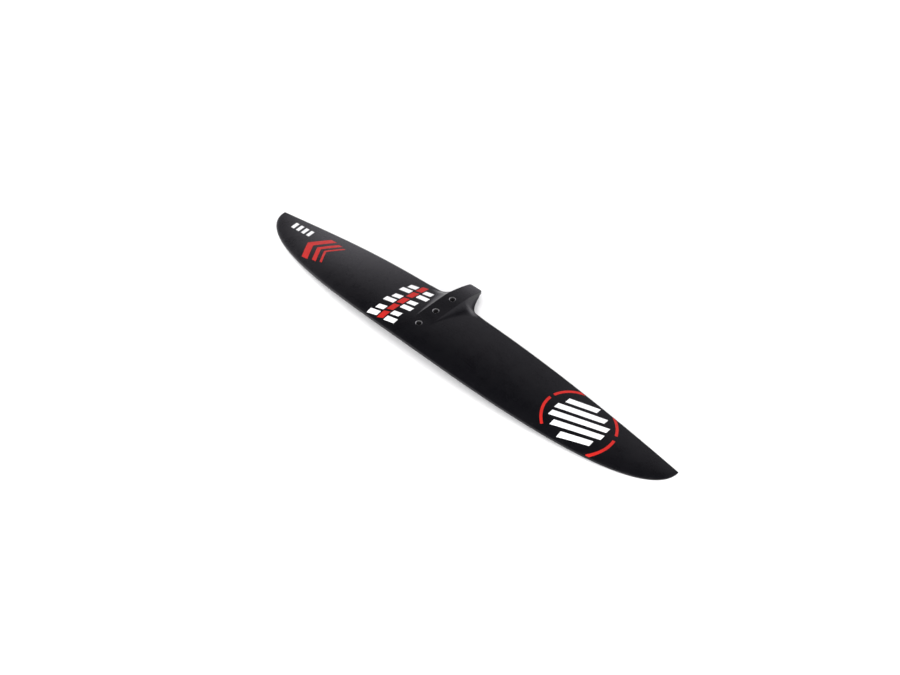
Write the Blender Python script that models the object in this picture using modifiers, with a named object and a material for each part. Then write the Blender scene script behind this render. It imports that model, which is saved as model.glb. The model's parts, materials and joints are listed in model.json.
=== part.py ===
"""A hydrofoil front wing in moulded carbon, shown screw side up and resting on its drooped tips.

Two skins meet on a parting surface that runs out at the leading and trailing edges. Between them
lie a solid mounting block, an I-section spar that runs from tip to tip, foam cores, edge fillers and
tip fillers. Three countersunk bushes pass through the middle and take the screws that hold the wing
to a fuselage.

Units are metres. X runs along the span, -Y is the leading edge, +Y the tail and +Z the screw side.
A "lane" is a chordwise line of the surface. It is named by its distance from the middle at the trailing
edge line, and lanes beside the tail bend inwards with it. Heights are measured from the root's edge line.
"""

import math

import bmesh
import bpy

# Outline seen from above
SPAN = 0.775
ROOT_CHORD = 0.109
CHORD_POWER = 2.32
EDGE_BOW = 0.013
EDGE_RAKE = 0.022
TIP_LANE = SPAN / 2 * 0.9997

# The droop from the middle to the tips, which level out at their ends
DROOP_RISE = 0.0707
DROOP_FALL = 0.0353

# Section shape, as shares of the local chord
SCREW_SIDE_RISE = 0.080
SEAT_SIDE_RISE = 0.042
PEAK_SHARE = 0.30
NOSE_EDGE = 0.0007
TAIL_EDGE = 0.0012

# The ridge that carries the screws, and the tail behind the trailing edge
CREST_LANE = 0.014
RIDGE_FILLET = 0.026
FLANK_RUN = 2.9
TAIL_LENGTH = 0.044
TAIL_FLARE = 0.100
TAIL_FLARE_POWER = 10
TAIL_PINCH = 0.0027
TAIL_FALL_START = -0.015
TAIL_FALL = 3.0
TAIL_WALL = 0.0015

# The flat seat for the fuselage on the other side
SEAT_DEPTH = 0.0060
SEAT_LANE = 0.014
SEAT_FILLET = 0.010
SEAT_FRONT = -0.092
SEAT_FADE = 0.014
DIP_INNER_LANE = 0.027
DIP_OUTER_LANE = 0.049
DIP_START = -0.008
DIP_END = 0.006

# Screw bushes, for M5 countersunk screws
SCREW_PITCH = 0.0335
MIDDLE_SCREW_Y = -0.0405
BORE_RADIUS = 0.0029
SINK_RADIUS = 0.0048
BUSH_HEAD_RADIUS = 0.0055
BUSH_HEAD_HEIGHT = 0.0030
BUSH_SHANK_RADIUS = 0.0042
BUSH_INSET = 0.0001

# Laminate and core
SKIN = 0.0010
GAP = 0.0003
CAP = 0.0012
CAP_FRONT_SHARE = 0.24
CAP_REAR_SHARE = 0.44
CAP_LANE = 0.305
WEB_SHARE = 0.33
WEB_WIDTH = 0.0025
WEB_LANE = 0.300
TOW_FRONT = 0.0030
TOW_REAR = 0.0060
TOW_LANE = 0.330
CORE_LANE = 0.310
CORE_LEAST_HEIGHT = 0.0020
WEDGE_LEAST_HEIGHT = 0.0008
WEDGE_REAR = -0.0050
TIP_FILLER_LANE = 0.352
TIP_FILLER_HEIGHT = 0.0012
BLOCK_LANE = 0.026
BLOCK_FRONT = 0.008
BLOCK_REAR = -0.0006
BLOCK_REAR_SWEEP = 0.8
TAIL_BLOCK_LANE = 0.0085
TAIL_BLOCK_FRONT = -0.0002
TAIL_BLOCK_REAR = 0.0415

# Mesh resolution
ROUND_STEPS = 24
CHORD_STEPS = 28
INNER_STEPS = 28
NOSE_EASE = 0.6
OUTER_LANES = 16
FLARE_LANES = 9
FLARE_LANES_WIDTH = 0.060
LANE_MARGIN = 0.001
SHARP_ANGLE = math.radians(30)


def smooth(t):
    """A ramp from 0 to 1 with level ends."""
    t = min(1.0, max(0.0, t))
    return t * t * (3 - 2 * t)


def span_share(lane):
    return min(1.0, abs(lane) / (SPAN / 2))


def chord(lane):
    return ROOT_CHORD * math.sqrt(1 - span_share(lane) ** CHORD_POWER)


def droop(lane):
    u = span_share(lane)
    return DROOP_RISE * u**2 - DROOP_FALL * u**4


def trailing_edge(lane):
    """The trailing edge without the tail."""
    u = span_share(lane)
    return EDGE_BOW * u**2 - EDGE_RAKE * u**4


def leading_edge(lane):
    return trailing_edge(lane) - chord(lane)


def tail_reach(lane):
    """How far the tail carries a lane past the trailing edge."""
    t = min(1.0, max(0.0, (abs(lane) - CREST_LANE) / TAIL_FLARE))
    return TAIL_LENGTH * (1 - t) ** TAIL_FLARE_POWER


def lane_end(lane):
    return trailing_edge(lane) + tail_reach(lane)


def lane_x(lane, y):
    """The tail narrows, so its lanes bend inwards behind the trailing edge."""
    pinch = TAIL_PINCH * max(0.0, y) / TAIL_LENGTH * min(1.0, abs(lane) / CREST_LANE)
    return math.copysign(abs(lane) - pinch, lane)


def thickness(share):
    """The NACA four-digit thickness curve, scaled to a highest point of 1."""
    s = min(1.0, max(0.0, share))
    return 10 * (0.2969 * math.sqrt(s) - 0.1260 * s - 0.3516 * s**2 + 0.2843 * s**3 - 0.1036 * s**4)


def chord_share(lane, y):
    return (y - leading_edge(lane)) / chord(lane)


def half_edge(lane, y):
    share = min(1.0, max(0.0, chord_share(lane, y)))
    return (NOSE_EDGE + (TAIL_EDGE - NOSE_EDGE) * share) / 2


def edge_height(lane, y):
    """The surface through the leading and trailing edges. It dips to the seat's level beside the tail."""
    across = 1 - smooth((abs(lane) - DIP_INNER_LANE) / (DIP_OUTER_LANE - DIP_INNER_LANE))
    along = smooth((y - DIP_START) / (DIP_END - DIP_START))
    dip = across * along
    return -droop(lane) * (1 - dip) - (SEAT_DEPTH - TAIL_EDGE / 2) * dip


def crest_height(y):
    peak = NOSE_EDGE / 2 + SCREW_SIDE_RISE * ROOT_CHORD
    return peak - TAIL_FALL * max(0.0, y - TAIL_FALL_START) ** 2


def fillet_width(y, ridge):
    """The flank's run, set by the ridge's height. Behind the wing it ends where the tail does."""
    room = RIDGE_FILLET
    if y > 0:
        room = min(room, TAIL_FLARE * (1 - (y / TAIL_LENGTH) ** (1 / TAIL_FLARE_POWER)))
    return max(1e-6, min(room, FLANK_RUN * ridge))


def screw_surface(lane, y):
    """The height of the outer surface on the screw side."""
    wing = SCREW_SIDE_RISE * chord(lane) * thickness(chord_share(lane, y))
    base = edge_height(lane, y) + half_edge(lane, y) + wing
    peak_y = leading_edge(0) + PEAK_SHARE * ROOT_CHORD
    ridge = max(0.0, crest_height(y) - base) * smooth((y - peak_y) / RIDGE_FILLET)
    away = min(1.0, max(0.0, (abs(lane) - CREST_LANE) / fillet_width(y, ridge)))
    return base + ridge * (1 - away) ** 2


def seat_surface(lane, y):
    """The height of the outer surface on the seat side, flat across the seat and under the tail."""
    wing = SEAT_SIDE_RISE * chord(lane) * thickness(chord_share(lane, y))
    base = edge_height(lane, y) - half_edge(lane, y) - wing
    away = min(1.0, max(0.0, (abs(lane) - SEAT_LANE) / SEAT_FILLET))
    strength = smooth((y - SEAT_FRONT + SEAT_FADE) / SEAT_FADE) * (1 - away) ** 2
    return base + (-SEAT_DEPTH - base) * strength


def parting(lane, y):
    """Where the skins meet: on the edge surface, but a skin's thickness inside both outer surfaces."""
    top, bottom = screw_surface(lane, y), seat_surface(lane, y)
    middle = (top + bottom) / 2
    lowest = min(bottom + SKIN + GAP / 2, middle)
    highest = max(top - SKIN - GAP / 2, middle)
    return min(highest, max(lowest, edge_height(lane, y)))


def screw_inner(lane, y):
    return max(screw_surface(lane, y) - SKIN, parting(lane, y) + GAP / 2)


def seat_inner(lane, y):
    return min(seat_surface(lane, y) + SKIN, parting(lane, y) - GAP / 2)


def core_top(lane, y, under_cap=0):
    return screw_inner(lane, y) - GAP - under_cap * (CAP + GAP)


def core_bottom(lane, y, under_cap=0):
    return seat_inner(lane, y) + GAP + under_cap * (CAP + GAP)


def rear_limit(lane, least_height):
    """The furthest y where the space between the skins is still that high."""
    near = leading_edge(lane) + PEAK_SHARE * chord(lane)
    far = trailing_edge(lane)
    for _ in range(30):
        y = (near + far) / 2
        if core_top(lane, y) - core_bottom(lane, y) > least_height:
            near = y
        else:
            far = y
    return near


def surface_lanes():
    """Lanes from tip to tip: close together over the ridge, the tail's flare and the rounded tips."""
    ridge = [CREST_LANE * k / 3 for k in range(4)]
    flare = [CREST_LANE + FLARE_LANES_WIDTH * (k / FLARE_LANES) ** 1.6 for k in range(1, FLARE_LANES + 1)]
    start = math.asin(flare[-1] / TIP_LANE)
    outer = [
        TIP_LANE * math.sin(start + (math.pi / 2 - start) * k / OUTER_LANES)
        for k in range(1, OUTER_LANES + 1)
    ]
    half = ridge + flare + outer
    return [-lane for lane in reversed(half[1:])] + half


def lanes_between(first, last):
    """The surface's lanes from first to last, so that inner pieces follow the skins lane by lane."""
    low, high = min(first, last), max(first, last)
    inside = [lane for lane in surface_lanes() if low + LANE_MARGIN < lane < high - LANE_MARGIN]
    lanes = [low] + inside + [high]
    return lanes if first < last else lanes[::-1]


def lowest_height():
    """The height of the lowest point, near the tips, where the part rests."""
    return min(
        seat_surface(lane, leading_edge(lane) + chord(lane) * k / 20)
        for lane in surface_lanes()
        for k in range(21)
    )


SHIFT_Y = (ROOT_CHORD - TAIL_LENGTH) / 2
SHIFT_Z = -lowest_height()


def place(lane, y, height):
    """A point in the part's frame: its origin is under the middle of the part, where it rests."""
    return (lane_x(lane, y), y + SHIFT_Y, height + SHIFT_Z)


def new_material(name, colour, roughness, metallic=0.0):
    material = bpy.data.materials.new(name)
    material.use_nodes = True
    shader = material.node_tree.nodes["Principled BSDF"]
    shader.inputs["Base Color"].default_value = (*colour, 1.0)
    shader.inputs["Roughness"].default_value = roughness
    shader.inputs["Metallic"].default_value = metallic
    return material


def add_object(name, mesh, material, collection):
    obj = bpy.data.objects.new(name, mesh)
    if material:
        mesh.materials.append(material)
    collection.objects.link(obj)
    return obj


def loft(name, rings, material, collection):
    """A closed solid through rings of points, which have the same count, with flat ends."""
    bm = bmesh.new()
    loops = [[bm.verts.new(point) for point in ring] for ring in rings]
    count = len(loops[0])
    for near, far in zip(loops, loops[1:]):
        for k in range(count):
            following = (k + 1) % count
            bm.faces.new((near[k], near[following], far[following], far[k]))
    bm.faces.new(loops[0][::-1])
    bm.faces.new(loops[-1])
    bmesh.ops.triangulate(bm, faces=bm.faces)
    bmesh.ops.recalc_face_normals(bm, faces=bm.faces)
    mesh = bpy.data.meshes.new(name)
    bm.to_mesh(mesh)
    bm.free()
    mesh.shade_smooth()
    mesh.set_sharp_from_angle(angle=SHARP_ANGLE)
    return add_object(name, mesh, material, collection)


def stations(front, end, count):
    """Chordwise positions from front to end, close together at the nose and even behind it."""
    ys = []
    for k in range(count + 1):
        t = k / count
        eased = t * t / (2 * NOSE_EASE) if t < NOSE_EASE else t - NOSE_EASE / 2
        ys.append(front + (end - front) * eased / (1 - NOSE_EASE / 2))
    return ys


def skin(name, outer, inner, material, collection):
    """One skin, as a loft of thin sections: along the outer surface, then back along the inner one."""
    rings = []
    for lane in surface_lanes():
        front, end = leading_edge(lane), lane_end(lane)
        wall = min(TAIL_WALL, (end - front) / 4)
        outward = [(y, outer(lane, y)) for y in stations(front, end, CHORD_STEPS)]
        flange = [(y, parting(lane, y) + math.copysign(GAP / 2, outer(0, 0))) for y in (end, end - wall)]
        back = [(y, inner(lane, y)) for y in reversed(stations(front, end - 1.2 * wall, INNER_STEPS))]
        rings.append([place(lane, y, height) for y, height in outward + flange + back])
    return loft(name, rings, material, collection)


def slab(name, lanes, stops, material, collection):
    """A solid between the skins, whose stops(lane) lists (y, under_cap) from front to rear.

    under_cap is 1 below a spar cap and 0 elsewhere.
    """
    rings = []
    for lane in lanes:
        points = stops(lane)
        lower = [place(lane, y, core_bottom(lane, y, under)) for y, under in points]
        upper = [place(lane, y, core_top(lane, y, under)) for y, under in reversed(points)]
        rings.append(lower + upper)
    return loft(name, rings, material, collection)


def at_share(lane, share):
    return leading_edge(lane) + share * chord(lane)


def steps_between(near, far, count, under=0):
    return [(near + (far - near) * k / count, under) for k in range(count + 1)]


def front_core_stops(lane):
    cap_edge = at_share(lane, CAP_FRONT_SHARE) - GAP
    web_edge = at_share(lane, WEB_SHARE) - WEB_WIDTH / 2 - GAP
    nose = leading_edge(lane) + TOW_REAR + GAP
    return steps_between(nose, cap_edge - GAP, 4) + steps_between(cap_edge, web_edge, 1, under=1)


def aft_core_stops(lane):
    web_edge = at_share(lane, WEB_SHARE) + WEB_WIDTH / 2 + GAP
    cap_edge = at_share(lane, CAP_REAR_SHARE) + GAP
    rear = rear_limit(lane, CORE_LEAST_HEIGHT)
    return steps_between(web_edge, cap_edge, 1, under=1) + steps_between(cap_edge + GAP, rear, 4)


def block_stops(lane):
    front_cap = at_share(lane, CAP_FRONT_SHARE) - GAP
    rear_cap = at_share(lane, CAP_REAR_SHARE) + GAP
    front = leading_edge(lane) + BLOCK_FRONT
    rear = BLOCK_REAR - BLOCK_REAR_SWEEP * max(0.0, abs(lane) - CREST_LANE)
    return (
        steps_between(front, front_cap - GAP, 4)
        + steps_between(front_cap, rear_cap, 2, under=1)
        + steps_between(rear_cap + GAP, rear, 13)
    )


def web_stops(lane):
    middle = at_share(lane, WEB_SHARE)
    return steps_between(middle - WEB_WIDTH / 2, middle + WEB_WIDTH / 2, 1, under=1)


def tow_stops(lane):
    front = leading_edge(lane)
    return steps_between(front + TOW_FRONT, front + TOW_REAR, 2)


def wedge_stops(lane):
    front = rear_limit(lane, CORE_LEAST_HEIGHT) + GAP
    return steps_between(front, min(WEDGE_REAR, rear_limit(lane, WEDGE_LEAST_HEIGHT)), 3)


def tip_filler_stops(lane):
    front = leading_edge(lane) + TOW_REAR + GAP
    return steps_between(front, rear_limit(lane, TIP_FILLER_HEIGHT), 5)


def tail_block_stops(_lane):
    return steps_between(TAIL_BLOCK_FRONT, TAIL_BLOCK_REAR, 5)


def spar_cap(name, side, material, collection):
    """A strip under one skin, from tip to tip. side is 1 on the screw side and -1 on the seat side."""
    rings = []
    for lane in lanes_between(-CAP_LANE, CAP_LANE):
        near, far = at_share(lane, CAP_FRONT_SHARE), at_share(lane, CAP_REAR_SHARE)
        ys = [y for y, _ in steps_between(near, far, 3)]
        inner = screw_inner if side > 0 else seat_inner
        outside = [place(lane, y, inner(lane, y) - side * GAP) for y in ys]
        inside = [place(lane, y, inner(lane, y) - side * (GAP + CAP)) for y in reversed(ys)]
        rings.append(outside + inside)
    return loft(name, rings, material, collection)


def turned(name, profile, y, material, collection):
    """A closed profile of (radius, height) turned about the vertical through the middle of the wing at y.

    It is turned by half a step, so that none of its edges meets the middle lane's.
    """
    mesh = bpy.data.meshes.new(name)
    count = len(profile)
    edges = [(k, (k + 1) % count) for k in range(count)]
    mesh.from_pydata([(radius, 0, height) for radius, height in profile], edges, [])
    obj = add_object(name, mesh, material, collection)
    obj.location = (0, y + SHIFT_Y, SHIFT_Z)
    obj.rotation_euler.z = math.pi / ROUND_STEPS
    screw = obj.modifiers.new("turn", "SCREW")
    screw.axis = "Z"
    screw.steps = ROUND_STEPS
    screw.render_steps = ROUND_STEPS
    screw.use_merge_vertices = True
    screw.merge_threshold = 0.00001
    return obj


def bush(name, y, material, collection):
    """A countersunk bush, flush with the ridge and with the seat."""
    top = crest_height(y) - BUSH_INSET
    bottom = BUSH_INSET - SEAT_DEPTH
    shoulder = top - BUSH_HEAD_HEIGHT
    sink_end = top - (SINK_RADIUS - BORE_RADIUS)
    profile = [
        (SINK_RADIUS, top),
        (BUSH_HEAD_RADIUS, top),
        (BUSH_HEAD_RADIUS, shoulder),
        (BUSH_SHANK_RADIUS, shoulder),
        (BUSH_SHANK_RADIUS, bottom),
        (BORE_RADIUS, bottom),
        (BORE_RADIUS, sink_end),
    ]
    return turned(name, profile, y, material, collection)


def bush_cutter(name, y, collection):
    """The stepped hole for a bush, with the running gap round it."""
    over = 0.010
    shoulder = crest_height(y) - BUSH_INSET - BUSH_HEAD_HEIGHT - GAP
    profile = [
        (0, crest_height(y) + over),
        (BUSH_HEAD_RADIUS + GAP, crest_height(y) + over),
        (BUSH_HEAD_RADIUS + GAP, shoulder),
        (BUSH_SHANK_RADIUS + GAP, shoulder),
        (BUSH_SHANK_RADIUS + GAP, -SEAT_DEPTH - over),
        (0, -SEAT_DEPTH - over),
    ]
    cutter = turned(name, profile, y, None, collection)
    cutter.hide_render = True
    cutter.display_type = "WIRE"
    return cutter


def cut(obj, cutters):
    for cutter in cutters:
        modifier = obj.modifiers.new(cutter.name, "BOOLEAN")
        modifier.operation = "DIFFERENCE"
        modifier.solver = "EXACT"
        modifier.object = cutter


def clear_scene():
    for obj in list(bpy.data.objects):
        bpy.data.objects.remove(obj)


def new_collection(name):
    collection = bpy.data.collections.new(name)
    bpy.context.scene.collection.children.link(collection)
    return collection


def build():
    clear_scene()
    parts = new_collection("hydrofoil_wing")
    cutters = new_collection("cutters")

    black_skin = new_material("matt_black_skin", (0.012, 0.012, 0.014), 0.45)
    carbon = new_material("bare_carbon", (0.03, 0.03, 0.033), 0.35)
    foam = new_material("core_foam", (0.62, 0.58, 0.44), 0.9)
    filler = new_material("epoxy_filler", (0.10, 0.10, 0.11), 0.6)
    steel = new_material("bush_steel", (0.45, 0.45, 0.46), 0.35, metallic=1.0)

    screw_skin = skin("screw_side_skin", screw_surface, screw_inner, black_skin, parts)
    seat_skin = skin("seat_side_skin", seat_surface, seat_inner, black_skin, parts)
    block_lanes = lanes_between(-BLOCK_LANE, BLOCK_LANE)
    block = slab("mounting_block", block_lanes, block_stops, carbon, parts)
    tail_lanes = lanes_between(-TAIL_BLOCK_LANE, TAIL_BLOCK_LANE)
    slab("tail_block", tail_lanes, tail_block_stops, filler, parts)
    screw_cap = spar_cap("spar_cap_screw_side", 1, carbon, parts)
    seat_cap = spar_cap("spar_cap_seat_side", -1, carbon, parts)
    slab("leading_edge_tow", lanes_between(-TOW_LANE, TOW_LANE), tow_stops, carbon, parts)

    core_start = BLOCK_LANE + GAP
    filler_start = CORE_LANE + GAP
    for side, sign in (("left", -1), ("right", 1)):
        core_lanes = lanes_between(sign * core_start, sign * CORE_LANE)
        web_lanes = lanes_between(sign * core_start, sign * WEB_LANE)
        tip_lanes = lanes_between(sign * filler_start, sign * TIP_FILLER_LANE)
        slab(f"front_core_{side}", core_lanes, front_core_stops, foam, parts)
        slab(f"aft_core_{side}", core_lanes, aft_core_stops, foam, parts)
        slab(f"spar_web_{side}", web_lanes, web_stops, carbon, parts)
        slab(f"trailing_edge_wedge_{side}", core_lanes, wedge_stops, filler, parts)
        slab(f"tip_filler_{side}", tip_lanes, tip_filler_stops, filler, parts)

    screw_places = (
        ("front", MIDDLE_SCREW_Y - SCREW_PITCH),
        ("middle", MIDDLE_SCREW_Y),
        ("rear", MIDDLE_SCREW_Y + SCREW_PITCH),
    )
    holes = {}
    for where, y in screw_places:
        bush(f"{where}_screw_bush", y, steel, parts)
        holes[where] = bush_cutter(f"{where}_bush_cutter", y, cutters)
    for pierced in (screw_skin, seat_skin, block):
        cut(pierced, holes.values())
    for pierced in (screw_cap, seat_cap):
        cut(pierced, [holes["front"]])


build()
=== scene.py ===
"""The finished look of a hydrofoil front wing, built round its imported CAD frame.

Lengths are metres. A lane is a fore-and-aft section of the wing, named by its distance from the middle.
Along a lane y runs aft from the trailing edge at the middle, and heights start at that edge's own level.
"""

import json
import math

import bmesh
import bpy
import numpy as np
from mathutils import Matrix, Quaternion, Vector


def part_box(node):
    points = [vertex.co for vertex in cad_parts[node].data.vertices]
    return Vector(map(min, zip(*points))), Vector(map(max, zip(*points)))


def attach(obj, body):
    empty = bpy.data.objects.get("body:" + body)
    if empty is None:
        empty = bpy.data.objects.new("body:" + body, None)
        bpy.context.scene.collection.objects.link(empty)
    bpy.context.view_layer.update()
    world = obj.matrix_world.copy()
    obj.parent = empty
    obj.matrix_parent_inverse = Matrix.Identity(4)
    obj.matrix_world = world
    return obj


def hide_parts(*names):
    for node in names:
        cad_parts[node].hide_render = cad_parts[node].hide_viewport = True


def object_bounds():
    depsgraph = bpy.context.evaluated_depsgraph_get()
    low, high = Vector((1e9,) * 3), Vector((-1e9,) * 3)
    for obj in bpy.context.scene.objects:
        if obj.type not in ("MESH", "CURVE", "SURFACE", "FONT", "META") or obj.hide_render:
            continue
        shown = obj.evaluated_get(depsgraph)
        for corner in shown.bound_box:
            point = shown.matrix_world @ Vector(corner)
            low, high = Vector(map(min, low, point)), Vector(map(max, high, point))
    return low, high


# Planform and sections, as in the CAD
SPAN = 0.775
ROOT_CHORD = 0.109
CHORD_POWER = 2.32
EDGE_BOW = 0.013
EDGE_RAKE = 0.022
TIP_LANE = SPAN / 2 * 0.9997
DROOP_RISE = 0.0707
DROOP_FALL = 0.0353
SCREW_SIDE_RISE = 0.080
SEAT_SIDE_RISE = 0.042
PEAK_SHARE = 0.30
NOSE_EDGE = 0.0007
TAIL_EDGE = 0.0012

# Ridge, tail and seat, as in the CAD
CREST_LANE = 0.014
RIDGE_FILLET = 0.026
FLANK_RUN = 2.9
TAIL_LENGTH = 0.044
TAIL_FLARE = 0.100
TAIL_FLARE_POWER = 10
TAIL_PINCH = 0.0027
TAIL_FALL_START = -0.015
TAIL_FALL = 3.0
SEAT_DEPTH = 0.0060
SEAT_LANE = 0.014
SEAT_FILLET = 0.010
SEAT_FRONT = -0.092
SEAT_FADE = 0.014
DIP_INNER_LANE = 0.027
DIP_OUTER_LANE = 0.049
DIP_START = -0.008
DIP_END = 0.006

# Screw bushes, as in the CAD
SCREW_PITCH = 0.0335
MIDDLE_SCREW_Y = -0.0405
BORE_RADIUS = 0.0029
SINK_RADIUS = 0.0048
HEAD_RADIUS = 0.0055
HEAD_HEIGHT = 0.0030
SHANK_RADIUS = 0.0042
BUSH_INSET = 0.0001

# Finish of the skins
SKIN = 0.0010
SEAM_GAP = 0.00003
NOSE_BLEND = 0.010
REAR_ROUND = 0.0012
REAR_DEPTH_SHARE = 0.9
END_SHARE = 0.25
CORNER_ROUND = 0.0035
CREST_ROUND = 0.0004
END_WALL = 0.0015
INNER_END = 1.2
SEAM_START = 0.02
OUTER_STEPS = 84
ROUND_STEPS = 6
INNER_STEPS = 26
NOSE_SHARE = 0.62
SHARP_ANGLE = math.radians(38)

# Spacing of the skins' lanes from the middle outwards
STRAIGHT_LANES = 9
CORNER_LANES = 10
CREST_EDGE_STEPS = (0.0002, 0.00045, 0.0008, 0.0013, 0.0019)
FLARE_START = 0.0026
FLARE_WIDTH = 0.0574
FLARE_LANES = 44
FLARE_EASE = 1.5
OUTER_LANES = 90

# Round parts
TURN_STEPS = 96
HOLE_ROOM = 0.00004
RIM_WIDTH = 0.0009
BUSH_LIP = 0.00012
RIM_BANDS = 2
COAT_SLOT = 1
STEEL_SLOT = 2

# Printed film
FILM_TOP = 0.00006
FILM_ROOT = 0.00015
FILM_LANE_STEP = 0.0025
FILM_STEPS = 80
FILM_FIRST_SHARE = 0.02
FILM_LAST_SHARE = 0.985
FILM_MARGIN = 0.0037
CUTTER_REACH = 0.1

# Graphics, in plan from the middle of the trailing edge
MM = 0.001
TIP_BARS = 4
TIP_BAR_X = -338.0 * MM
TIP_BAR_Y = -32.0 * MM
TIP_BAR_PITCH = 13.0 * MM
TIP_BAR_WIDTH = 7.5 * MM
TIP_BAR_LENGTH = 15.0 * MM
TIP_BAR_LEAN = -4.0 * MM
CHEVRON_Y = -45.0 * MM
BAND_X = -50.0 * MM
BAND_HALF = 4.6 * MM
BAND_BLOCKS = 5
BAND_START = -103.0 * MM
BAND_PITCH = 19.0 * MM
BAND_LENGTH = 14.5 * MM
BLOCK_ROWS = 3
BLOCK_START = -101.0 * MM
BLOCK_ROW_PITCH = 31.5 * MM
BLOCK_PITCH = 13.0 * MM
BLOCK_WIDTH = 8.5 * MM
BLOCK_LENGTHS = (17.0 * MM, 13.0 * MM)
BLOCK_GAP = 2.4 * MM
BLOCK_LEAN = 3.5 * MM
RING_X = 256.5 * MM
RING_Y = -41.5 * MM
RING_RADIUS = 49.0 * MM
RING_WIDTH = 3.8 * MM
RING_ARCS = ((-42, 12), (22, 60), (116, 170), (178, 232))
ARC_POINTS = 40
STRIPE_TURN = math.radians(27)
STRIPE_WIDTH = 8.5 * MM
STRIPE_PITCH = 14.0 * MM
STRIPE_SLANT = 4.0 * MM
STRIPE_LENGTHS = (46.0 * MM, 70.0 * MM, 80.0 * MM, 70.0 * MM, 46.0 * MM)

# Camera, floor and walls; a heading is an azimuth and an elevation
CAMERA_PLACE = (0.62296, -0.65317, 0.82357)
CAMERA_HEADING = (math.radians(44.193), math.radians(44.807))
CAMERA_ROLL = math.radians(-0.412)
CAMERA_LENS = 34.1
CAMERA_SENSOR = 36.0
CAMERA_NEAR = 0.01
FLOOR_SIDE = 40.0
FLOOR_GAP = 0.00003
BRIGHT_WALL_AZIMUTH = 195
BRIGHT_WALL_EDGES = (0.72, 0.92)
WALL_SHADES = (-0.55, 0.2)
SHADE_HEIGHTS = (0.29, 0.38)
PANEL_HEADING = (147, 39)
PANEL_EDGES = (math.cos(math.radians(24)), math.cos(math.radians(8)))
PANEL_LEVEL = 0.75
ROOM_TINT = (1.0, 0.96, 1.05)
# Level of the studio's walls by height: the sine of the elevation, then the brightness
WALL_LEVELS = (
    (0.0, 1.12),
    (0.19, 1.08),
    (0.26, 0.86),
    (0.32, 0.47),
    (0.40, 0.28),
    (0.50, 0.30),
    (0.56, 0.30),
    (0.62, 0.22),
    (0.67, 0.125),
    (0.72, 0.065),
    (0.80, 0.02),
    (0.90, 0.01),
    (1.0, 0.008),
)


def smooth(t):
    t = np.clip(t, 0.0, 1.0)
    return t * t * (3 - 2 * t)


def span_share(lane):
    return np.minimum(1.0, np.abs(lane) / (SPAN / 2))


def chord(lane):
    return ROOT_CHORD * np.sqrt(1 - span_share(lane) ** CHORD_POWER)


def droop(lane):
    share = span_share(lane)
    return DROOP_RISE * share**2 - DROOP_FALL * share**4


def trailing_edge(lane):
    share = span_share(lane)
    return EDGE_BOW * share**2 - EDGE_RAKE * share**4


def leading_edge(lane):
    return trailing_edge(lane) - chord(lane)


def corner_cut(lane):
    """What the tail's rounded corners take off the rear end of a lane."""
    beyond = (np.abs(lane) - CREST_LANE) / CORNER_ROUND
    inside = np.clip(beyond + 1, 0.0, 1.0)
    return CORNER_ROUND * (1 - np.sqrt(1 - inside**2)) * (1 - smooth(beyond))


def lane_end(lane):
    flare = np.clip((np.abs(lane) - CREST_LANE) / TAIL_FLARE, 0.0, 1.0)
    return trailing_edge(lane) + TAIL_LENGTH * (1 - flare) ** TAIL_FLARE_POWER - corner_cut(lane)


def lane_x(lane, y):
    pinch = TAIL_PINCH * np.maximum(0.0, y) / TAIL_LENGTH * np.minimum(1.0, np.abs(lane) / CREST_LANE)
    return np.sign(lane) * (np.abs(lane) - pinch)


def thickness(share):
    """The NACA four-digit thickness law."""
    s = np.clip(share, 0.0, 1.0)
    return 10 * (0.2969 * np.sqrt(s) - 0.1260 * s - 0.3516 * s**2 + 0.2843 * s**3 - 0.1036 * s**4)


def chord_share(lane, y):
    return np.clip((y - leading_edge(lane)) / np.maximum(chord(lane), 1e-6), 0.0, 1.0)


def section_height(lane, y, rise):
    """The wing section's own height on one side, for a chord's greatest rise."""
    return rise * chord(lane) * thickness(chord_share(lane, y))


def half_edge(lane, y):
    share = chord_share(lane, y)
    return (NOSE_EDGE * smooth(share / NOSE_BLEND) + (TAIL_EDGE - NOSE_EDGE) * share) / 2


def edge_height(lane, y):
    across = 1 - smooth((np.abs(lane) - DIP_INNER_LANE) / (DIP_OUTER_LANE - DIP_INNER_LANE))
    dip = across * smooth((y - DIP_START) / (DIP_END - DIP_START))
    return -droop(lane) * (1 - dip) - (SEAT_DEPTH - TAIL_EDGE / 2) * dip


def crest_height(y):
    peak = NOSE_EDGE / 2 + SCREW_SIDE_RISE * ROOT_CHORD
    return peak - TAIL_FALL * np.maximum(0.0, y - TAIL_FALL_START) ** 2


def fillet_width(y, ridge):
    """The flank's run: set by the ridge's height, and kept inside the tail's outline behind the wing."""
    flank = TAIL_FLARE * (1 - (np.maximum(y, 1e-9) / TAIL_LENGTH) ** (1 / TAIL_FLARE_POWER))
    room = np.where(y <= 0, RIDGE_FILLET, np.clip(flank, 1e-6, RIDGE_FILLET))
    return np.minimum(room, np.maximum(ridge * FLANK_RUN, 1e-6))


def past_crest(lane):
    """How far a lane lies outside the crest, with the crest's edge eased over."""
    past = np.abs(lane) - CREST_LANE
    eased = np.clip(past + CREST_ROUND, 0.0, None) ** 2 / (4 * CREST_ROUND)
    return np.where(past < CREST_ROUND, eased, past)


def screw_surface(lane, y):
    base = edge_height(lane, y) + half_edge(lane, y) + section_height(lane, y, SCREW_SIDE_RISE)
    peak_y = leading_edge(0) + PEAK_SHARE * ROOT_CHORD
    ridge = np.maximum(0.0, crest_height(y) - base) * smooth((y - peak_y) / RIDGE_FILLET)
    return base + ridge * (1 - np.clip(past_crest(lane) / fillet_width(y, ridge), 0.0, 1.0)) ** 2


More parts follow.
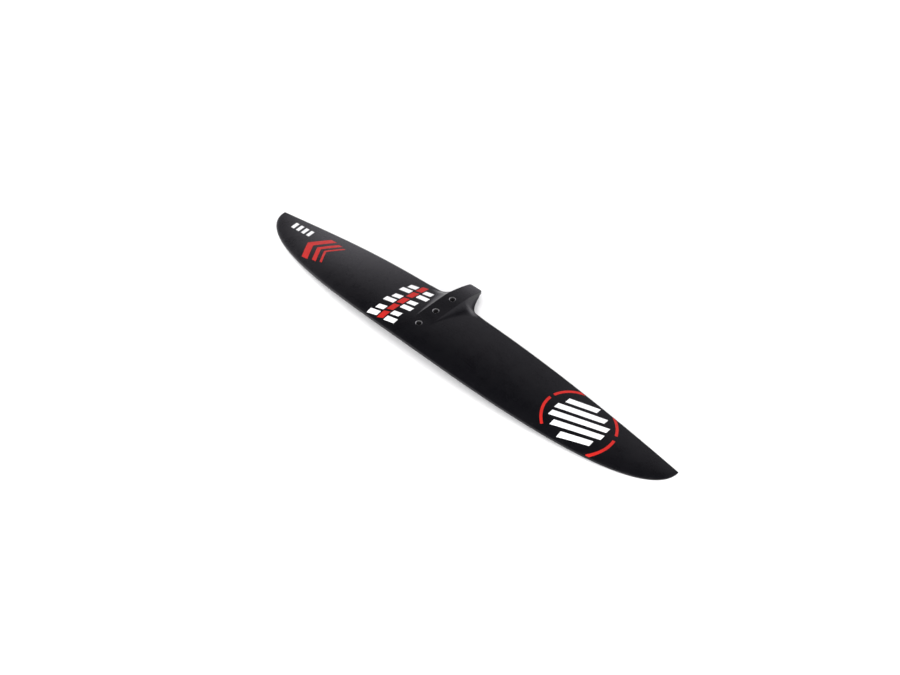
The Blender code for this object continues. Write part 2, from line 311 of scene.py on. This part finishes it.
def seat_surface(lane, y):
    base = edge_height(lane, y) - half_edge(lane, y) - section_height(lane, y, SEAT_SIDE_RISE)
    away = np.clip((np.abs(lane) - SEAT_LANE) / SEAT_FILLET, 0.0, 1.0)
    strength = smooth((y - SEAT_FRONT + SEAT_FADE) / SEAT_FADE) * (1 - away) ** 2
    return base + (-SEAT_DEPTH - base) * strength


def parting(lane, y):
    """The height at which the two skins meet."""
    top, bottom = screw_surface(lane, y), seat_surface(lane, y)
    middle = (top + bottom) / 2
    return np.clip(edge_height(lane, y), np.minimum(bottom + SKIN, middle), np.maximum(top - SKIN, middle))


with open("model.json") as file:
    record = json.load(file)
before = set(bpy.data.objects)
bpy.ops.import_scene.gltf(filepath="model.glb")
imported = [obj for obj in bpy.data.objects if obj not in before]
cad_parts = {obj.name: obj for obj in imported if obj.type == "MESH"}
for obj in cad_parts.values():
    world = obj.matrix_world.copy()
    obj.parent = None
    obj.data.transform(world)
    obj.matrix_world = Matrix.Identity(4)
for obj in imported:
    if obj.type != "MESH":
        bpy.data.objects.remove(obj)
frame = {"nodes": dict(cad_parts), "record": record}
CAD_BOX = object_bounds()
SHIFT_Y = (ROOT_CHORD - TAIL_LENGTH) / 2
SHIFT_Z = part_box("middle_screw_bush")[0].z - BUSH_INSET + SEAT_DEPTH


def placed(lane, y, height):
    """Lane coordinates as points in the CAD's own frame."""
    return np.stack([lane_x(lane, y), y + SHIFT_Y, height + SHIFT_Z], axis=-1)


# Materials
class Look:
    """A node tree being built: a new material's, unless another tree is given."""

    def __init__(self, name, tree=None):
        if tree is None:
            self.material = bpy.data.materials.new(name)
            self.material.use_nodes = True
            tree = self.material.node_tree
            self.shader = tree.nodes["Principled BSDF"]
        self.tree = tree
        self.where = tree.nodes.new("ShaderNodeNewGeometry").outputs["Position"]

    def feed(self, socket, value):
        if isinstance(value, bpy.types.NodeSocket):
            self.tree.links.new(value, socket)
        elif isinstance(value, tuple) and len(value) < len(socket.default_value):
            socket.default_value = (*value, 1.0)
        else:
            socket.default_value = value

    def node(self, kind, inputs, **settings):
        node = self.tree.nodes.new(kind)
        for key, value in settings.items():
            setattr(node, key, value)
        for key, value in inputs.items():
            self.feed(node.inputs[key], value)
        return node

    def stretched(self, x, y, z):
        inputs = {0: self.where, 1: (x, y, z)}
        return self.node("ShaderNodeVectorMath", inputs, operation="MULTIPLY").outputs[0]

    def noise(self, scale, detail=2.0, rough=0.5, vector=None):
        """Noise of about 0 to 1, its scale in features per metre of the place it reads."""
        inputs = {"Vector": vector or self.where, "Scale": scale, "Detail": detail, "Roughness": rough}
        return self.node("ShaderNodeTexNoise", inputs).outputs["Fac"]

    def span(self, value, low, high, out_low, out_high):
        """Maps low and high to the two output values, and holds them beyond."""
        inputs = {"Value": value, "From Min": low, "From Max": high, "To Min": out_low, "To Max": out_high}
        return self.node("ShaderNodeMapRange", inputs).outputs[0]

    def sum(self, *values):
        total = values[0]
        for value in values[1:]:
            total = self.node("ShaderNodeMath", {0: total, 1: value}, operation="ADD").outputs[0]
        return total

    def product(self, first, second):
        return self.node("ShaderNodeMath", {0: first, 1: second}, operation="MULTIPLY").outputs[0]

    def blend(self, factor, first, second):
        return self.node("ShaderNodeMix", {0: factor, 6: first, 7: second}, data_type="RGBA").outputs[2]

    def bump(self, *layers):
        """Stacks bump layers, each a height, a strength and a depth."""
        normal = None
        for height, strength, depth in layers:
            inputs = {"Height": height, "Strength": strength, "Distance": depth}
            if normal is not None:
                inputs["Normal"] = normal
            normal = self.node("ShaderNodeBump", inputs).outputs["Normal"]
        self.feed(self.shader.inputs["Normal"], normal)

    def finish(self, **values):
        for key, value in values.items():
            self.feed(self.shader.inputs[key.replace("_", " ")], value)
        return self.material


def matt_coat():
    """Sprayed matt black: fine grain over a faint orange peel, with slight mottling and soft rub marks."""
    look = Look("matt_black_coat")
    mottle = look.noise(55.0, 4.0, 0.6)
    grain = look.noise(2600.0, 2.0, 0.6)
    peel = look.noise(260.0)
    rubs = look.noise(1.0, 6.0, 0.62, look.stretched(18.0, 160.0, 60.0))
    fleck = look.span(look.noise(1500.0, 1.0), 0.70, 0.78, 0.0, 0.35)
    shade = look.span(mottle, 0.35, 0.65, 0.0, 1.0)
    black = look.blend(shade, (0.0034, 0.0033, 0.0043), (0.0046, 0.0045, 0.0055))
    look.bump((peel, 0.10, 0.00020), (grain, 0.22, 0.00006))
    return look.finish(
        Base_Color=look.blend(fleck, black, (0.013, 0.013, 0.016)),
        Roughness=look.sum(
            look.span(mottle, 0.3, 0.7, 0.27, 0.32),
            look.span(rubs, 0.55, 0.75, 0.0, -0.02),
            look.span(grain, 0.3, 0.7, -0.03, 0.03),
        ),
        IOR=1.48,
    )


def print_ink(name, colour, worn):
    """Screen ink: slightly uneven cover, with the coat's grain showing through."""
    look = Look(name)
    cover = look.noise(90.0, 3.0, 0.6)
    grain = look.noise(2600.0, 2.0, 0.6)
    look.bump((cover, 0.05, 0.0001), (grain, 0.18, 0.00005))
    return look.finish(
        Base_Color=look.blend(look.span(cover, 0.35, 0.65, 0.0, 1.0), colour, worn),
        Roughness=look.span(grain, 0.3, 0.7, 0.42, 0.52),
        IOR=1.48,
    )


def turned_steel():
    """Stainless steel off the lathe, with tool marks and a little staining."""
    look = Look("turned_steel")
    marks = look.noise(1.0, 3.0, 0.6, look.stretched(200.0, 200.0, 9000.0))
    stain = look.noise(700.0, 3.0, 0.6)
    stained = look.span(stain, 0.35, 0.7, 0.0, 1.0)
    look.bump((marks, 0.25, 0.00002))
    return look.finish(
        Base_Color=look.blend(stained, (0.46, 0.46, 0.47), (0.34, 0.335, 0.33)),
        Metallic=0.85,
        Roughness=look.span(stain, 0.3, 0.7, 0.24, 0.38),
    )


def painted_shade_steel():
    """Steel coloured near-black for the inside of a bush: painted shade for the deep, unlit bore, a little
    patchy.
    """
    look = Look("painted_shade_steel")
    patches = look.noise(900.0, 3.0, 0.6)
    worn = look.span(patches, 0.35, 0.7, 0.0, 1.0)
    look.bump((patches, 0.2, 0.00002))
    return look.finish(
        Base_Color=look.blend(worn, (0.004, 0.004, 0.005), (0.012, 0.011, 0.011)),
        Roughness=look.span(patches, 0.3, 0.7, 0.45, 0.6),
    )


def bare_carbon():
    """Plain-weave carbon laminate."""
    look = Look("bare_carbon")
    bands = {}
    for axis in "XY":
        inputs = {"Vector": look.where, "Scale": 160.0, "Distortion": 0.4}
        bands[axis] = look.node("ShaderNodeTexWave", inputs, bands_direction=axis).outputs["Fac"]
    tows = look.product(bands["X"], bands["Y"])
    look.bump((tows, 0.3, 0.0002))
    return look.finish(
        Base_Color=look.blend(tows, (0.018, 0.018, 0.020), (0.055, 0.055, 0.060)),
        Roughness=look.span(tows, 0.0, 1.0, 0.48, 0.30),
    )


def core_foam():
    """Closed-cell foam, cut and sanded."""
    look = Look("core_foam")
    cells = look.node("ShaderNodeTexVoronoi", {"Vector": look.where, "Scale": 1400.0}).outputs["Distance"]
    look.bump((cells, 0.5, 0.0002))
    return look.finish(
        Base_Color=look.blend(look.noise(40.0, 3.0), (0.60, 0.55, 0.40), (0.70, 0.66, 0.52)),
        Roughness=look.span(cells, 0.0, 0.6, 0.95, 0.80),
    )


def epoxy_filler():
    """Dull filled epoxy with pinholes."""
    look = Look("epoxy_filler")
    cloud = look.noise(120.0, 4.0)
    look.bump((look.noise(2200.0, 1.0), 0.3, 0.0001))
    return look.finish(
        Base_Color=look.blend(cloud, (0.075, 0.075, 0.080), (0.13, 0.13, 0.135)),
        Roughness=look.span(cloud, 0.3, 0.7, 0.5, 0.7),
    )


def floor_paint():
    """Flat pale paint with no shine of its own."""
    look = Look("pale_floor")
    return look.finish(
        Base_Color=look.blend(look.noise(3.0), (0.84, 0.84, 0.84), (0.86, 0.86, 0.86)),
        Roughness=0.9,
        Specular_IOR_Level=0.0,
    )


COAT = matt_coat()
WHITE_INK = print_ink("white_ink", (0.80, 0.80, 0.80), (0.84, 0.84, 0.84))
RED_INK = print_ink("red_ink", (0.49, 0.018, 0.014), (0.44, 0.016, 0.012))
STEEL = turned_steel()
# Near-black steel for the bushes' bores and shanks: painted shade for the inside of the holes
PAINTED_SHADE_STEEL = painted_shade_steel()
SLOT_LOOKS = {
    "matt_black": COAT,
    "carbon": bare_carbon(),
    "foam": core_foam(),
    "filler": epoxy_filler(),
    # The CAD's bushes take the same near-black steel, painted shade
    "bush_metal": PAINTED_SHADE_STEEL,
}
for part in frame["record"]["subparts"]:
    slots = frame["nodes"][part["node"]].data.materials
    slots.clear()
    slots.append(SLOT_LOOKS[part["material_slot"]])


# Mesh tools
def mesh_object(name, points, faces, *materials):
    """A smooth-shaded closed mesh, wound so that its faces look outwards."""
    bm = bmesh.new()
    verts = [bm.verts.new(point) for point in points]
    for face in faces:
        bm.faces.new([verts[index] for index in face])
    if bm.calc_volume(signed=True) < 0:
        bmesh.ops.reverse_faces(bm, faces=bm.faces)
    mesh = bpy.data.meshes.new(name)
    bm.to_mesh(mesh)
    bm.free()
    for material in materials:
        mesh.materials.append(material)
    mesh.shade_smooth()
    mesh.set_sharp_from_angle(angle=SHARP_ANGLE)
    obj = bpy.data.objects.new(name, mesh)
    bpy.context.scene.collection.objects.link(obj)
    return obj


def lofted(name, rings, material):
    """Joins closed rings of equal length into one solid with flat ends."""
    count = len(rings[0])
    faces = [tuple(range(count)), tuple(range(count * len(rings) - 1, count * (len(rings) - 1) - 1, -1))]
    for start in range(0, count * (len(rings) - 1), count):
        for k in range(count):
            after = (k + 1) % count
            faces.append((start + after, start + k, start + count + k, start + count + after))
    return mesh_object(name, np.concatenate(rings), faces, material)


def turned(name, profile, y, *materials, closed=True, turn=0.0):
    """Turns a profile of radius and height about an upright axis; an open profile gets flat ends."""
    count = len(profile)
    points, faces = [], []
    for step in range(TURN_STEPS):
        angle = 2 * math.pi * (step + turn) / TURN_STEPS
        across, along = math.cos(angle), math.sin(angle)
        points += [(r * across, r * along + y + SHIFT_Y, height + SHIFT_Z) for r, height in profile]
        here, there = step * count, (step + 1) % TURN_STEPS * count
        for k in range(count if closed else count - 1):
            after = (k + 1) % count
            faces.append((here + k, here + after, there + after, there + k))
    if not closed:
        total = TURN_STEPS * count
        faces += [tuple(range(0, total, count)), tuple(range(total - 1, -1, -count))]
    return mesh_object(name, points, faces, *materials)


def carve(obj, operation, tools):
    """Applies a Boolean with each tool, keeps the result as the object's mesh and throws the tools away."""
    for tool in tools:
        modifier = obj.modifiers.new(operation, "BOOLEAN")
        modifier.operation = operation
        modifier.solver = "EXACT"
        modifier.object = tool
    bpy.context.view_layer.update()
    carved = bpy.data.meshes.new_from_object(obj.evaluated_get(bpy.context.evaluated_depsgraph_get()))
    obj.modifiers.clear()
    obj.data = carved
    carved.shade_smooth()
    carved.set_sharp_from_angle(angle=SHARP_ANGLE)
    for tool in tools:
        bpy.data.objects.remove(tool)


# Skins
def skin_lanes():
    """Lanes from tip to tip, close together at the tail's corners, the crest's edges and the tips."""
    straight = np.linspace(0, CREST_LANE - CORNER_ROUND, STRAIGHT_LANES)[:-1]
    corner = CREST_LANE - CORNER_ROUND * (1 - np.sin(np.linspace(0, math.pi / 2, CORNER_LANES)))
    edge = CREST_LANE + np.array(CREST_EDGE_STEPS)
    flare = CREST_LANE + FLARE_START + FLARE_WIDTH * np.linspace(0, 1, FLARE_LANES) ** FLARE_EASE
    outer = TIP_LANE * np.sin(np.linspace(math.asin(flare[-1] / TIP_LANE), math.pi / 2, OUTER_LANES)[1:])
    half = np.concatenate([straight, corner, edge, flare, outer])
    return np.concatenate([-half[:0:-1], half])


def stations(count):
    """Shares from 0 to 1, close together at the nose."""
    t = np.linspace(0, 1, count + 1)
    eased = np.where(t < NOSE_SHARE, t * t / (2 * NOSE_SHARE), t - NOSE_SHARE / 2)
    return eased / (1 - NOSE_SHARE / 2)


def skin_ring(lane, surface, side):
    """One lane's closed section of a skin: its outer face, the seam face behind it and its inner face."""
    front, end = float(leading_edge(lane)), float(lane_end(lane))
    depth = abs(float(surface(lane, end) - parting(lane, end)))
    radius = min(REAR_ROUND, REAR_DEPTH_SHARE * depth, END_SHARE * (end - front))
    turn = np.sin(np.linspace(0, math.pi / 2, ROUND_STEPS + 1)[1:])
    rear = end - radius
    outer_y = np.concatenate([front + (rear - front) * stations(OUTER_STEPS), rear + radius * turn])
    rounding = radius * (1 - np.sqrt(np.clip(1 - ((outer_y - end) / radius + 1).clip(0) ** 2, 0, None)))
    outer = surface(lane, outer_y) - side * rounding
    outer[0] = parting(lane, front) + side * SEAM_GAP
    wall = min(END_WALL, END_SHARE * (end - front))
    inner_y = (front + (end - INNER_END * wall - front) * stations(INNER_STEPS))[:0:-1]
    seam_y = np.concatenate([[end - radius * SEAM_START, end - wall], inner_y])
    seam = parting(lane, seam_y) + side * SEAM_GAP
    inner = surface(lane, seam_y) - side * SKIN
    inner[:2] = seam[:2]
    inner = side * np.maximum(side * inner, side * seam)
    y = np.concatenate([outer_y, seam_y])
    return placed(np.full(len(y), lane), y, np.concatenate([outer, inner]))


def hole_tool(y):
    """A stepped plug a hair wider than a bush, to open its hole through both skins."""
    head, shank = HEAD_RADIUS + HOLE_ROOM, SHANK_RADIUS + HOLE_ROOM
    shoulder = float(crest_height(y)) - BUSH_INSET - HEAD_HEIGHT - HOLE_ROOM
    above, below = float(crest_height(y)) + BORE_RADIUS, -SEAT_DEPTH - BORE_RADIUS
    profile = [(head, above), (head, shoulder), (shank, shoulder), (shank, below)]
    return turned("hole_tool", profile, y, COAT, closed=False, turn=0.5)


SCREWS = {"front": -SCREW_PITCH, "middle": 0.0, "rear": SCREW_PITCH}
for name, surface, side in (("screw_side_skin", screw_surface, 1), ("seat_side_skin", seat_surface, -1)):
    skin = lofted(f"{name}_fine", [skin_ring(lane, surface, side) for lane in skin_lanes()], COAT)
    carve(skin, "DIFFERENCE", [hole_tool(MIDDLE_SCREW_Y + step) for step in SCREWS.values()])
    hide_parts(name)
    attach(skin, "root")


# Screw bushes
def bush_profile(y):
    """Half the bush's section: countersink, bore, foot, shank and head, with small chamfers."""
    top = float(crest_height(y)) - BUSH_INSET
    foot = BUSH_INSET - SEAT_DEPTH
    cone = top - (SINK_RADIUS - BORE_RADIUS)
    return [
        (SINK_RADIUS + BUSH_LIP, top),
        (HEAD_RADIUS - BUSH_LIP, top),
        (HEAD_RADIUS, top - BUSH_LIP),
        (HEAD_RADIUS, top - HEAD_HEIGHT),
        (SHANK_RADIUS, top - HEAD_HEIGHT),
        (SHANK_RADIUS, foot + BUSH_LIP),
        (SHANK_RADIUS - BUSH_LIP, foot),
        (BORE_RADIUS + 2 * BUSH_LIP, foot),
        (BORE_RADIUS, foot + 2 * BUSH_LIP),
        (BORE_RADIUS, cone - BUSH_LIP),
        (BORE_RADIUS + BUSH_LIP / 2, cone),
        (SINK_RADIUS - RIM_WIDTH, top - RIM_WIDTH),
        (SINK_RADIUS, top - BUSH_LIP / 2),
    ]


for name, step in SCREWS.items():
    profile = bush_profile(MIDDLE_SCREW_Y + step)
    # Faces keep the near-black steel by default, as painted shade for the bore; only the rim bands get coat
    # and the countersink bands bare steel
    bush = turned(f"{name}_bush_fine", profile, MIDDLE_SCREW_Y + step, PAINTED_SHADE_STEEL, COAT, STEEL)
    for face in bush.data.polygons:
        band = face.index % len(profile)
        if band < RIM_BANDS:
            face.material_index = COAT_SLOT
        elif band >= len(profile) - RIM_BANDS:
            face.material_index = STEEL_SLOT
    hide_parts(f"{name}_screw_bush")
    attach(bush, "root")


# Printed graphics
def slab(first_x, last_x):
    """A thin sheet over the screw side between two lanes, for the film to be cut from."""
    lanes = np.linspace(first_x, last_x, max(2, round(abs(last_x - first_x) / FILM_LANE_STEP)) + 1)
    shares = FILM_FIRST_SHARE + (FILM_LAST_SHARE - FILM_FIRST_SHARE) * stations(FILM_STEPS)
    rings = []
    for lane in lanes:
        y = leading_edge(lane) + chord(lane) * shares
        height = screw_surface(lane, y)
        y = np.concatenate([y, y[::-1]])
        height = np.concatenate([height + FILM_TOP, height[::-1] - FILM_ROOT])
        rings.append(placed(np.full(len(y), lane), y, height))
    return lofted("film_slab", rings, COAT)


def film(name, outlines, ink):
    """Film cut to plan outlines and laid on the screw side."""
    xs = [x for outline in outlines for x, y in outline]
    piece = slab(min(xs) - FILM_MARGIN, max(xs) + FILM_MARGIN)
    points, faces = [], []
    for outline in outlines:
        base, count = len(points), len(outline)
        for height in (-CUTTER_REACH, CUTTER_REACH):
            points += [(x, y + SHIFT_Y, height) for x, y in outline]
        faces.append(tuple(range(base + count - 1, base - 1, -1)))
        faces.append(tuple(range(base + count, base + 2 * count)))
        for k in range(count):
            after = (k + 1) % count
            faces.append((base + k, base + after, base + count + after, base + count + k))
    carve(piece, "INTERSECT", [mesh_object("film_tool", points, faces, ink)])
    piece.name = name
    piece.data.materials.clear()
    piece.data.materials.append(ink)
    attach(piece, "root")


def slanted(x, y, width, length, lean):
    """A leaning block: x and y are the middle of its front edge."""
    half = width / 2
    return [(x - half, y), (x + half, y), (x + half + lean, y + length), (x - half + lean, y + length)]


def chevron(tip_x, reach, spread, width):
    """An arrowhead that points along the wing, its tip at tip_x."""
    return [
        (tip_x, CHEVRON_Y),
        (tip_x + reach, CHEVRON_Y + spread),
        (tip_x + reach + width, CHEVRON_Y + spread),
        (tip_x + width, CHEVRON_Y),
        (tip_x + reach + width, CHEVRON_Y - spread),
        (tip_x + reach, CHEVRON_Y - spread),
    ]


def arc(first, last):
    """Part of the ring, between two angles in degrees from the right tip's direction."""
    angles = np.radians(np.linspace(first, last, ARC_POINTS))
    outer, inner = RING_RADIUS + RING_WIDTH / 2, RING_RADIUS - RING_WIDTH / 2
    outline = []
    for radius, sweep in ((outer, angles), (inner, angles[::-1])):
        outline += [(RING_X + radius * math.cos(a), RING_Y + radius * math.sin(a)) for a in sweep]
    return outline


tip_bars = []
for bar in range(TIP_BARS):
    x = TIP_BAR_X + TIP_BAR_PITCH * bar
    tip_bars.append(slanted(x, TIP_BAR_Y, TIP_BAR_WIDTH, TIP_BAR_LENGTH, TIP_BAR_LEAN))
film("left_tip_bars", tip_bars, WHITE_INK)

chevrons = [
    chevron(-281.0 * MM, 22.0 * MM, 30.0 * MM, 14.0 * MM),
    chevron(-257.0 * MM, 20.0 * MM, 27.0 * MM, 9.0 * MM),
    chevron(-240.0 * MM, 18.0 * MM, 24.0 * MM, 5.0 * MM),
]
film("left_tip_chevrons", chevrons, RED_INK)

blocks = []
for row in range(BLOCK_ROWS):
    for bar, length in enumerate(BLOCK_LENGTHS):
        y = BLOCK_START + BLOCK_ROW_PITCH * row + BLOCK_PITCH * bar
        for side in (-1, 1):
            near = BAND_X + side * (BAND_HALF + BLOCK_GAP)
            far = near + side * length
            lean = side * BLOCK_LEAN
            rear = y + BLOCK_WIDTH
            blocks.append([(near, y), (far, y + lean), (far, rear + lean), (near, rear)])
film("centre_blocks", blocks, WHITE_INK)

band = []
for row in range(BAND_BLOCKS):
    low = BAND_START + BAND_PITCH * row
    high = low + BAND_LENGTH
    left, right = BAND_X - BAND_HALF, BAND_X + BAND_HALF
    band.append([(left, low), (right, low + BLOCK_LEAN), (right, high + BLOCK_LEAN), (left, high)])
film("centre_band", band, RED_INK)

film("right_tip_ring", [arc(first, last) for first, last in RING_ARCS], RED_INK)

stripes = []
across, along = math.cos(STRIPE_TURN), math.sin(STRIPE_TURN)
for row, length in enumerate(STRIPE_LENGTHS):
    low = (row - len(STRIPE_LENGTHS) // 2) * STRIPE_PITCH - STRIPE_WIDTH / 2
    high = low + STRIPE_WIDTH
    half = length / 2
    outline = [(-half, low), (half - STRIPE_SLANT, low), (half, high), (-half + STRIPE_SLANT, high)]
    stripes.append([(RING_X + u * across - v * along, RING_Y + u * along + v * across) for u, v in outline])
film("right_tip_stripes", stripes, WHITE_INK)


# Camera
def heading(azimuth, elevation):
    """A unit vector from radians: azimuth 0 is ahead of the nose, and a right angle is off the right tip."""
    level = math.cos(elevation)
    return Vector((math.sin(azimuth) * level, -math.cos(azimuth) * level, math.sin(elevation)))


camera = bpy.data.objects.new("camera", bpy.data.cameras.new("camera"))
camera.data.lens = CAMERA_LENS
camera.data.sensor_width = CAMERA_SENSOR
camera.data.clip_start = CAMERA_NEAR
camera.location = Vector(CAMERA_PLACE) + Vector((0.0, SHIFT_Y, SHIFT_Z))
camera.rotation_mode = "QUATERNION"
aim = heading(*CAMERA_HEADING).to_track_quat("Z", "Y")
camera.rotation_quaternion = aim @ Quaternion((0, 0, 1), CAMERA_ROLL)
bpy.context.scene.collection.objects.link(camera)
bpy.context.scene.camera = camera

# Floor
bm = bmesh.new()
bmesh.ops.create_grid(bm, x_segments=4, y_segments=4, size=FLOOR_SIDE / 2)
floor_mesh = bpy.data.meshes.new("floor")
bm.to_mesh(floor_mesh)
bm.free()
floor_mesh.materials.append(floor_paint())
floor = bpy.data.objects.new("floor", floor_mesh)
floor.location.z = CAD_BOX[0].z - FLOOR_GAP
bpy.context.scene.collection.objects.link(floor)


# Lights
def softbox(name, azimuth, elevation, strength, width):
    """A distant soft light, given in degrees, with its brightness and how wide it looks."""
    light = bpy.data.objects.new(name, bpy.data.lights.new(name, "SUN"))
    light.data.energy = strength
    light.data.angle = math.radians(width)
    light.visible_glossy = False
    light.rotation_mode = "QUATERNION"
    aim = heading(math.radians(azimuth), math.radians(elevation))
    light.rotation_quaternion = aim.to_track_quat("Z", "Y")
    bpy.context.scene.collection.objects.link(light)


softbox("key_softbox", 44, 57, 3.75, 34)
softbox("fill_softbox", 44, 22, 2.2, 40)

# Studio walls
world = bpy.data.worlds.new("studio")
world.use_nodes = True
room = Look("studio", world.node_tree)
towards = room.node("ShaderNodeTexCoord", {}).outputs["Generated"]
upwards = room.node("ShaderNodeSeparateXYZ", {0: towards}).outputs["Z"]
ramp = room.node("ShaderNodeValToRGB", {"Fac": upwards})
stops = ramp.color_ramp.elements
while len(stops) < len(WALL_LEVELS):
    stops.new(0.5)
for stop, (height, level) in zip(stops, WALL_LEVELS):
    stop.position = height
    stop.color = (level, level, level, 1.0)


def facing(way, azimuth, elevation):
    """How squarely a direction looks at a point of the studio, given in degrees."""
    point = tuple(heading(math.radians(azimuth), math.radians(elevation)))
    return room.node("ShaderNodeVectorMath", {0: way, 1: point}, operation="DOT_PRODUCT").outputs["Value"]


flat = room.node("ShaderNodeVectorMath", {0: towards, 1: (1.0, 1.0, 0.0)}, operation="MULTIPLY").outputs[0]
around = room.node("ShaderNodeVectorMath", {0: flat}, operation="NORMALIZE").outputs[0]
shade = room.span(facing(around, BRIGHT_WALL_AZIMUTH, 0), *BRIGHT_WALL_EDGES, *WALL_SHADES)
above = room.span(upwards, *SHADE_HEIGHTS, 0.0, 1.0)
walls = room.product(ramp.outputs["Color"], room.sum(1.0, room.product(shade, above)))
panel = room.span(facing(towards, *PANEL_HEADING), *PANEL_EDGES, 0.0, PANEL_LEVEL)
tinted = room.node("ShaderNodeVectorMath", {0: room.sum(walls, panel), 1: ROOM_TINT}, operation="MULTIPLY")
room.feed(world.node_tree.nodes["Background"].inputs["Color"], tinted.outputs[0])
bpy.context.scene.world = world
bpy.context.scene.view_settings.view_transform = "Standard"
